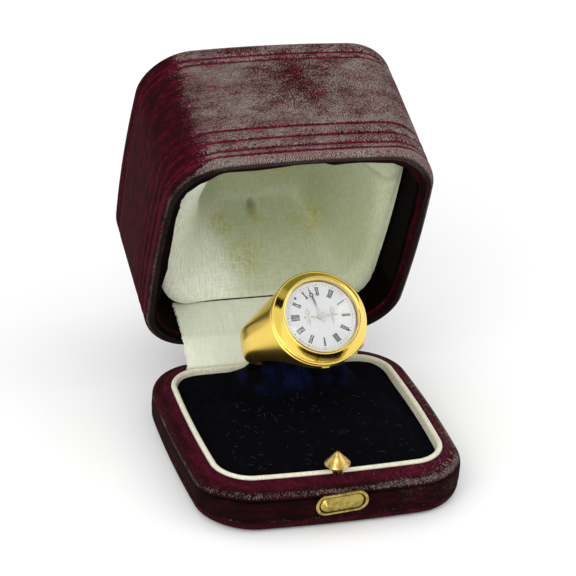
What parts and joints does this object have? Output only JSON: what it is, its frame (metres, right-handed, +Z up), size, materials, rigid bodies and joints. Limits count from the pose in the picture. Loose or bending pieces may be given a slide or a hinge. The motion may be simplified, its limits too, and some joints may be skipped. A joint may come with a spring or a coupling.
{
  "type": "ring watch in ring box",
  "caption": "Open velvet ring box with a hinged domed lid, satin-lined inside, holding a gold ring whose bezel is a small round watch with hands.",
  "frame": {"origin": "centre of the base's flat underside, on the surface it stands on", "axes": "+X to the right seen from the clasp side, +Y from the clasp to the hinge, +Z up"},
  "size_m": [0.0534, 0.0803, 0.0685],
  "materials": {
    "burgundy_velvet": "worn short-pile velvet over card",
    "cream_silk": "plain silk, slight sheen",
    "navy_velvet": "deep pile velvet",
    "black_velvet": "short pile",
    "pale_satin": "aged satin, soft sheen",
    "yellow_brass": "aged, rubbed bright at the edges",
    "gold": "polished yellow gold",
    "crystal_glass": "clear, domed",
    "white_enamel": "glossy",
    "dark_steel": "blued dark"
  },
  "bodies": {
    "tray": {"base_shell": "burgundy_velvet", "collar": "cream_silk", "cushion": "navy_velvet", "escutcheon": "yellow_brass", "hinge_base": "yellow_brass", "hinge_pin": "yellow_brass", "ring_body": "gold", "bezel": "gold", "crystal": "crystal_glass", "dial": "white_enamel", "hand_post": "dark_steel"},
    "latch": {"push_button": "yellow_brass", "catch": "yellow_brass"},
    "lid": {"lid_shell": "burgundy_velvet", "lid_lining": "black_velvet", "lid_pad": "pale_satin", "hinge_lid": "yellow_brass", "hinge_strip": "pale_satin"},
    "minute_hand": {"minute_hand": "dark_steel"},
    "hour_hand": {"hour_hand": "dark_steel"}
  },
  "joints": [
    {"name": "lid_hinge", "type": "hinge", "parent": "tray", "child": "lid", "pos_m": [0, 0.02638, 0.00831], "axis": [1, 0, 0], "range_deg": [0, 71.5], "deforming": ["hinge_strip"]},
    {"name": "latch_press", "type": "slide", "parent": "tray", "child": "latch", "axis": [0, 1, 0], "range_m": [0, 0.0006], "stiffness_N_per_m": 400},
    {"name": "minute_turn", "type": "hinge", "parent": "tray", "child": "minute_hand", "pos_m": [0.002, 0.0025, 0.02779], "axis": [0, 0.6833, -0.7302], "continuous": true},
    {"name": "hour_turn", "type": "hinge", "parent": "tray", "child": "hour_hand", "pos_m": [0.002, 0.0025, 0.02779], "axis": [0, 0.6833, -0.7302], "continuous": true}
  ],
  "couplings": [
    {"joint": "hour_turn", "follows": "minute_turn", "ratio": 0.083333}
  ]
}
